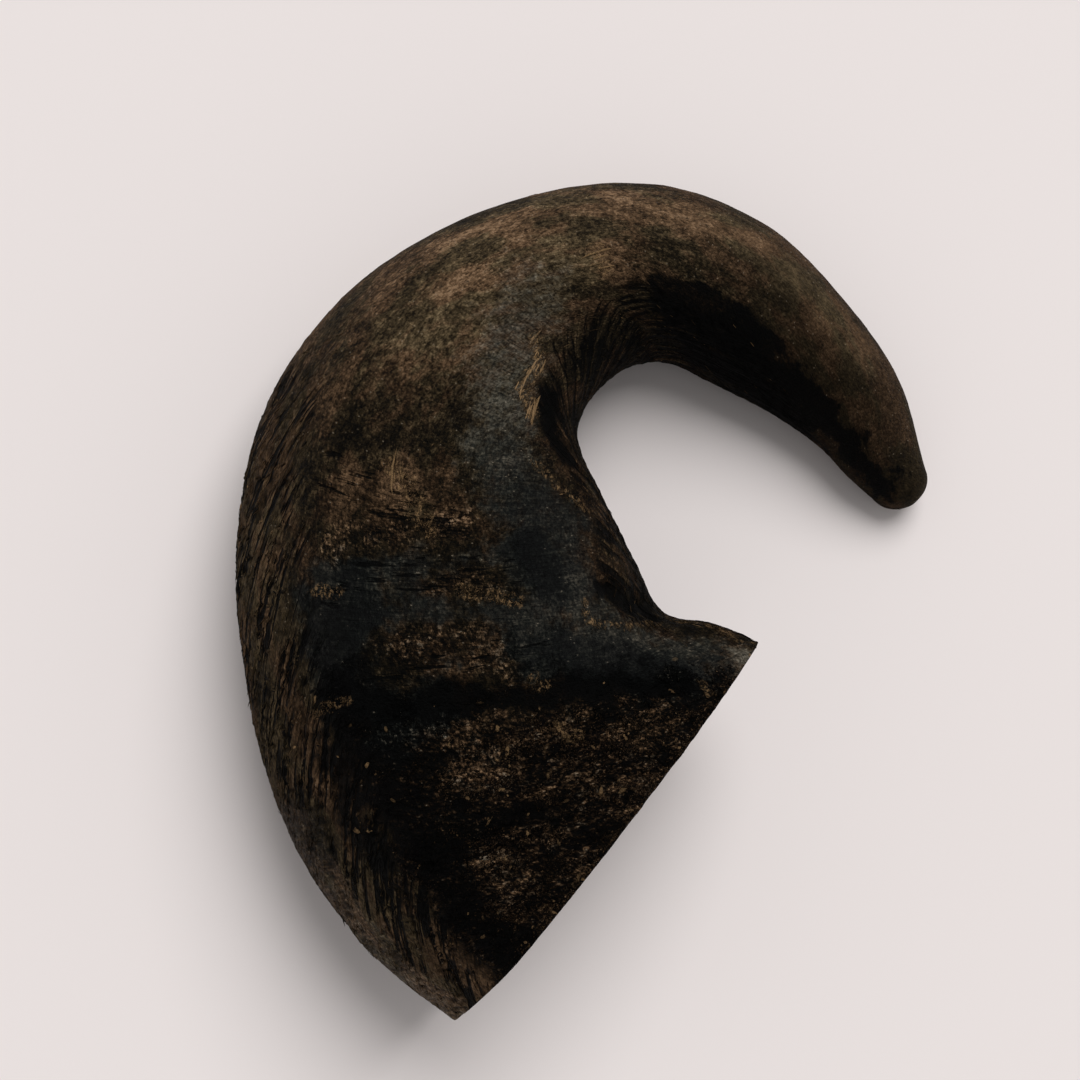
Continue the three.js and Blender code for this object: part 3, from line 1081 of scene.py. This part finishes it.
def sawn():
    """The saw cut: thin layers that follow the rim, crossed by the saw's marks."""
    n = Nodes("sawn_keratin")
    at = n.attribute("grain", "Vector")
    depth = n.attribute("depth")
    layers = n.add("ShaderNodeCombineXYZ", {0: n.times(depth, 9.0)})
    wavering = n.scaled(at, (0.05, 0.05, 0.05))
    layers = n.add("ShaderNodeVectorMath", {0: layers, 1: wavering}, operation="ADD")
    layer = n.noise(layers, (1.0, 1.0, 1.0), detail=4, roughness=0.6)
    grit = n.noise(at, (1.3, 1.3, 1.3), detail=4, roughness=0.6)
    turned = n.add("ShaderNodeVectorRotate", {0: at, 3: np.radians(25)}, rotation_type="Y_AXIS")
    saw = n.noise(turned, (0.05, 1.0, 2.2), detail=2)
    colour = n.mix(n.step(layer, 0.38, 0.62), BROWN_DARK, BROWN)
    colour = n.mix(n.step(grit, 0.5, 0.66, 0.0, 0.7), colour, PITCH)
    colour = n.mix(n.step(saw, 0.58, 0.68, 0.0, 0.6), colour, FAWN)
    height = n.plus(n.times(saw, 0.5), n.times(layer, 0.4), n.times(grit, 0.15))
    return n.finish(colour, 0.66, n.bump(height, 0.7 * MM))


def hollow_wall():
    """The inside, where the bony core sat: dusty brown, fibrous and pitted."""
    n = Nodes("hollow_wall")
    at = n.attribute("grain", "Vector")
    fibre = n.noise(at, (0.8, 0.12, 0.8), detail=5, roughness=0.65)
    patch = n.noise(at, (0.08, 0.08, 0.08), detail=4)
    grit = n.noise(at, (1.1, 1.1, 1.1), detail=4, roughness=0.7)
    colour = n.mix(n.step(fibre, 0.36, 0.64), BROWN_DARK, BROWN)
    colour = n.mix(n.step(patch, 0.42, 0.6, 0.0, 0.75), colour, FAWN)
    colour = n.mix(n.step(grit, 0.54, 0.68, 0.0, 0.75), colour, PITCH)
    height = n.plus(n.times(fibre, 1.2), n.times(grit, 0.5))
    return n.finish(colour, 0.85, n.bump(height, MM))


horn = build_horn()
skin_material = keratin()
for material in (skin_material, sawn(), hollow_wall()):
    horn.data.materials.append(material)
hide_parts("horn")

# Crumbs stand in clumps on the rough bark, and along the saw cut.
rough = np.clip(bark * (1 - 0.8 * worn), 0, 1)
clumps = smoothstep(-0.3, 0.5, Noise(51)(ring_grain / (4, 7, 7), octaves=2))
at_cut = station < 0.15
bark_crumbs = build_scatter(
    "bark_crumbs", crumb_shape, rough * (0.15 + clumps + at_cut) + 0.05 * (1 - worn) * flank,
    count=15000, seed=61, sizes=((0.16, 0.12, 0.06), (1.3, 0.6, 0.36)),
    turn=RINGWISE, turn_spread=0.6, tone=(0.1, 0.75), lift=0.12,
)
inner_fibres = build_scatter(
    "inner_fibres", fibre_shape, wrinkled + 0.012 * (1 - worn),
    count=8000, seed=62, sizes=((0.5, 0.06, 0.05), (2.2, 0.14, 0.12)),
    turn=ALONG_INNER, turn_spread=0.15, tone=(0.2, 0.6), lift=0.05,
)
flank_fibres = build_scatter(
    "flank_fibres", fibre_shape, flank + 0.1 * rough,
    count=7000, seed=63, sizes=((0.5, 0.06, 0.05), (2.4, 0.16, 0.13)),
    turn=ALONG_FLANK, turn_spread=0.15, tone=(0.1, 0.6), lift=0.06,
)
flakes = build_scatter(
    "flakes", crumb_shape, flaked**2,
    count=900, seed=64, sizes=((0.2, 0.1, 0.05), (1.15, 0.3, 0.16)),
    turn=ALONG_FLAKES, turn_spread=0.6, tone=(0.6, 0.6), lift=0.12,
)
# The long tan strands that have split off the crest.
strands = build_scatter(
    "strands", fibre_shape, flaked**6 * (station > 4.9),
    count=40, seed=65, sizes=((0.8, 0.14, 0.1), (7.0, 0.42, 0.24)),
    turn=ALONG_FLAKES, turn_spread=0.07, tone=(3.0, 0.6), lift=0.12,
)
PIECES = (bark_crumbs, inner_fibres, flank_fibres, flakes, strands)
for piece in PIECES:
    piece.data.materials.append(skin_material)
for piece in (horn, *PIECES):
    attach(piece, "root")

# ---- studio

CAMERA_TARGET = Vector((-0.7, -2.7, 22.0)) * MM
CAMERA_DISTANCE = 420 * MM
CAMERA_LEAN = np.radians(12)
LENS = 74.5
SENSOR = 36.0
NEAREST_VISIBLE = 0.01
# The directions on the floor that are up and right in the photo.
PHOTO_UP_AZIMUTH = np.radians(39)
PHOTO_UP = Vector((np.cos(PHOTO_UP_AZIMUTH), np.sin(PHOTO_UP_AZIMUTH), 0))
PHOTO_RIGHT = Vector((np.sin(PHOTO_UP_AZIMUTH), -np.cos(PHOTO_UP_AZIMUTH), 0))
# The floor reaches this far in metres, past the horizon of any view from above.
FLOOR_REACH = 30.0
FLOOR_COLOUR = (0.807, 0.745, 0.73, 1)


def add_camera():
    """Looks almost straight down, from a little to the outside of the base."""
    camera = add_object("camera", bpy.data.cameras.new("camera"))
    camera.data.lens = LENS
    camera.data.sensor_width = SENSOR
    camera.data.clip_start = NEAREST_VISIBLE
    back = Vector((-np.sin(CAMERA_LEAN), 0, np.cos(CAMERA_LEAN)))
    right = PHOTO_UP.cross(back).normalized()
    up = back.cross(right)
    rotation = Matrix((right, up, back)).transposed().to_4x4()
    camera.matrix_world = Matrix.Translation(CAMERA_TARGET + CAMERA_DISTANCE * back) @ rotation
    bpy.context.scene.camera = camera


def add_sun(name, towards, strength, width):
    """A soft far light; towards points from the horn to it, and width is its size in degrees."""
    lamp = bpy.data.lights.new(name, "SUN")
    lamp.energy = strength
    lamp.angle = np.radians(width)
    sun = add_object(name, lamp)
    sun.rotation_euler = towards.to_track_quat("Z", "Y").to_euler()


def add_floor():
    mesh = bpy.data.meshes.new("floor")
    signs = [(-1, -1), (1, -1), (1, 1), (-1, 1)]
    corners = [(x * FLOOR_REACH, y * FLOOR_REACH, 0) for x, y in signs]
    mesh.from_pydata(corners, [], [(0, 1, 2, 3)])
    floor = add_object("floor", mesh)
    mesh.materials.append(Nodes("pale_paper").finish(FLOOR_COLOUR, 0.9, specular=0.5))


def add_world(zenith, horizon):
    """A pale room, brightest around the horizon."""
    world = bpy.data.worlds.new("studio")
    world.use_nodes = True
    nodes, links = world.node_tree.nodes, world.node_tree.links
    place = nodes.new("ShaderNodeTexCoord")
    parts = nodes.new("ShaderNodeSeparateXYZ")
    links.new(place.outputs["Generated"], parts.inputs[0])
    height = nodes.new("ShaderNodeMapRange")
    links.new(parts.outputs["Z"], height.inputs["Value"])
    limits = {"From Min": 0.0, "From Max": 0.9, "To Min": horizon, "To Max": zenith}
    for name, value in limits.items():
        height.inputs[name].default_value = value
    links.new(height.outputs[0], nodes["Background"].inputs["Strength"])
    nodes["Background"].inputs["Color"].default_value = (1, 1, 1, 1)
    bpy.context.scene.world = world


add_camera()
towards_window = 0.58 * PHOTO_UP + 0.22 * PHOTO_RIGHT + Vector((0, 0, 1))
add_sun("window", towards_window, strength=2.25, width=44)
add_floor()
add_world(zenith=0.28, horizon=0.75)
bpy.context.scene.view_settings.view_transform = "Standard"
